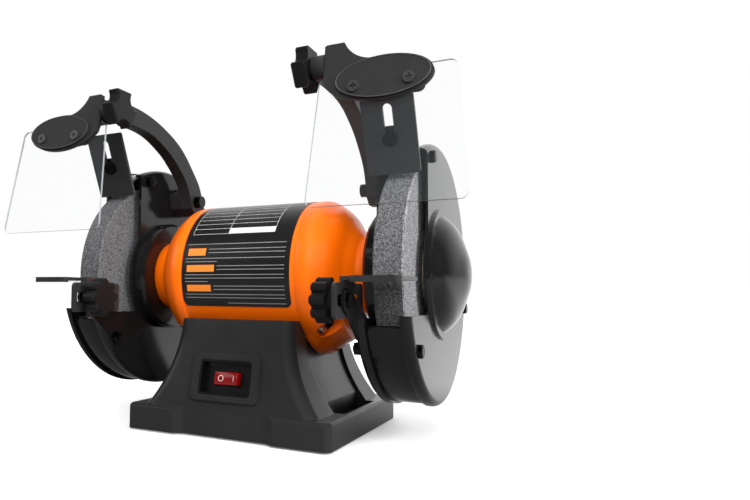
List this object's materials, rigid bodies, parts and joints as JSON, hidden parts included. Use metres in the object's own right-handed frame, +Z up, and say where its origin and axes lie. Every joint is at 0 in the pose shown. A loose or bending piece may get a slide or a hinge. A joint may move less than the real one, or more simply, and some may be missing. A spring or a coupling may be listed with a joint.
{
  "type": "bench grinder",
  "caption": "Bench grinder: motor spindle with a grinding wheel at each end, guards with spark arrestors, tilting eye shields and sliding tool rests on a cast base with a rocker switch",
  "frame": {"origin": "on the bench, under the middle of the shaft and midway between the two mounting slots", "axes": "+X along the shaft towards the right wheel, +Y to the back, +Z up"},
  "size_m": [0.4478, 0.268, 0.3301],
  "materials": {
    "cast_grey": "satin grey paint on die-cast aluminium",
    "steel_sheet": "satin",
    "steel": "zinc plated or turned",
    "black_screws": "black oxide",
    "rubber": "matte",
    "switch_black": "satin",
    "rocker_red": "gloss",
    "capacitor_can": "drawn",
    "clamp_sheet": "zinc plated",
    "terminal_plastic": "matte",
    "orange_paint": "gloss",
    "orange_cast": "gloss orange paint on die-cast aluminium",
    "core_steel": "stacked sheet",
    "copper": "varnished wire",
    "label": "satin film",
    "grit": "grit",
    "paper": "matte",
    "guard_black": "satin",
    "rest_steel": "satin",
    "knob_black": "satin",
    "bracket_black": "satin",
    "clear_sheet": "clear"
  },
  "bodies": {
    "frame": {"base": "cast_grey", "base_plate": "steel_sheet", "base_plate_screws": "steel", "saddle_bolts": "steel", "tie_bolts": "steel", "bearing_outer_races": "steel", "guard_nuts": "steel", "guard_spacers": "steel", "hub_screws": "steel", "rest_studs": "steel", "cover_bolts": "black_screws", "spark_screws": "black_screws", "arm_bolts": "black_screws", "rubber_feet": "rubber", "cord_gland": "rubber", "switch_body": "switch_black", "capacitor": "capacitor_can", "capacitor_clamp": "clamp_sheet", "terminal_block": "terminal_plastic", "motor_shell": "orange_paint", "end_bell_left": "orange_cast", "end_bell_right": "orange_cast", "stator_core": "core_steel", "stator_windings": "copper", "label_film": "label", "guard_inner_left": "guard_black", "guard_inner_right": "guard_black", "guard_band_left": "guard_black", "guard_band_right": "guard_black", "wheel_cover_left": "guard_black", "wheel_cover_right": "guard_black", "shield_arm_left": "bracket_black", "shield_arm_right": "bracket_black"},
    "spindle": {"shaft": "steel", "rotor": "core_steel", "bearing_inner_races": "steel", "wheel_left": "grit", "wheel_right": "grit", "wheel_blotters": "paper", "inner_flanges": "steel", "outer_flanges": "steel", "spindle_nuts": "steel"},
    "bearing_balls": {"bearing_cages": "steel"},
    "rocker": {"switch_rocker": "rocker_red"},
    "shield_left": {"shield_bracket_left": "bracket_black", "eye_shield_left": "clear_sheet", "shield_backing_left": "bracket_black", "shield_screws_left": "steel"},
    "shield_clamp_left": {"shield_knob_left": "knob_black"},
    "rest_left": {"tool_rest_left": "rest_steel"},
    "rest_clamp_left": {"rest_knob_left": "knob_black"},
    "spark_plate_left": {"spark_arrestor_left": "guard_black"},
    "shield_right": {"shield_bracket_right": "bracket_black", "eye_shield_right": "clear_sheet", "shield_backing_right": "bracket_black", "shield_screws_right": "steel"},
    "shield_clamp_right": {"shield_knob_right": "knob_black"},
    "rest_right": {"tool_rest_right": "rest_steel"},
    "rest_clamp_right": {"rest_knob_right": "knob_black"},
    "spark_plate_right": {"spark_arrestor_right": "guard_black"}
  },
  "joints": [
    {"name": "spindle_spin", "type": "hinge", "parent": "frame", "child": "spindle", "pos_m": [0, 0, 0.151], "axis": [1, 0, 0], "continuous": true},
    {"name": "bearing_balls_orbit", "type": "hinge", "parent": "frame", "child": "bearing_balls", "pos_m": [0, 0, 0.151], "axis": [1, 0, 0], "continuous": true},
    {"name": "switch_tilt", "type": "hinge", "parent": "frame", "child": "rocker", "pos_m": [-0.001, -0.07626, 0.05233], "axis": [0, 0.1962, 0.9806], "range_deg": [0, 16]},
    {"name": "shield_tilt_left", "type": "hinge", "parent": "frame", "child": "shield_left", "pos_m": [-0.121, -0.12976, 0.30443], "axis": [-1, 0, 0], "range_deg": [-10, 80]},
    {"name": "shield_knob_turn_left", "type": "hinge", "parent": "frame", "child": "shield_clamp_left", "pos_m": [-0.094, -0.12976, 0.30443], "axis": [-1, 0, 0], "range_deg": [0, 360]},
    {"name": "tool_rest_slide_left", "type": "slide", "parent": "frame", "child": "rest_left", "axis": [0, 1, 0], "range_m": [-0.025, 0.002]},
    {"name": "rest_knob_turn_left", "type": "hinge", "parent": "frame", "child": "rest_clamp_left", "pos_m": [-0.112, -0.129, 0.1264], "axis": [-1, 0, 0], "range_deg": [0, 360]},
    {"name": "spark_arrestor_slide_left", "type": "slide", "parent": "frame", "child": "spark_plate_left", "axis": [0, -0.3891, 0.9212], "range_m": [-0.003, 0.0018]},
    {"name": "shield_tilt_right", "type": "hinge", "parent": "frame", "child": "shield_right", "pos_m": [0.121, -0.12527, 0.31324], "axis": [-1, 0, 0], "range_deg": [-10, 80]},
    {"name": "shield_knob_turn_right", "type": "hinge", "parent": "frame", "child": "shield_clamp_right", "pos_m": [0.094, -0.12527, 0.31324], "axis": [1, 0, 0], "range_deg": [0, 360]},
    {"name": "tool_rest_slide_right", "type": "slide", "parent": "frame", "child": "rest_right", "axis": [0, 1, 0], "range_m": [-0.025, 0.002]},
    {"name": "rest_knob_turn_right", "type": "hinge", "parent": "frame", "child": "rest_clamp_right", "pos_m": [0.112, -0.129, 0.1264], "axis": [1, 0, 0], "range_deg": [0, 360]},
    {"name": "spark_arrestor_slide_right", "type": "slide", "parent": "frame", "child": "spark_plate_right", "axis": [0, -0.3891, 0.9212], "range_m": [-0.003, 0.0018]}
  ],
  "couplings": [
    {"joint": "bearing_balls_orbit", "follows": "spindle_spin", "ratio": 0.39123}
  ]
}
